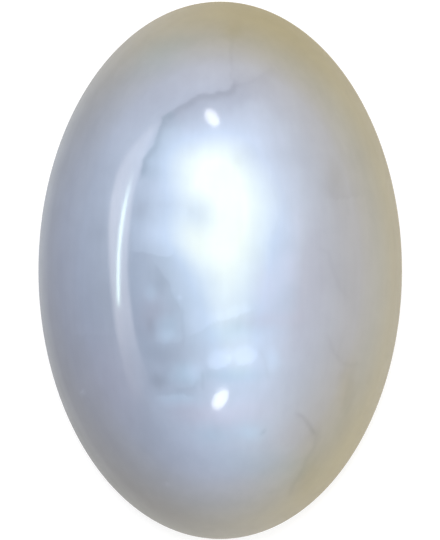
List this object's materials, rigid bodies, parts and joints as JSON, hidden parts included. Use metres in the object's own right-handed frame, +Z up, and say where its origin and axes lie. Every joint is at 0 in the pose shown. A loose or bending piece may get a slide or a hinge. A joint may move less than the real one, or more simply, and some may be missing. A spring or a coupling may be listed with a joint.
{
  "type": "oval moonstone cabochon",
  "caption": "Polished oval moonstone cabochon: a high milky dome over a shallow rounded back, which is ground flat so that the stone rests level.",
  "frame": {"origin": "centre of the flat spot under the stone, on the surface that it rests on", "axes": "+Z up through the top of the dome, +Y along the stone's long axis, +X across its width"},
  "size_m": [0.0122, 0.018, 0.007],
  "materials": {
    "moonstone": "polished, milky and slightly translucent"
  },
  "bodies": {
    "root": {"moonstone": "moonstone"}
  },
  "joints": []
}
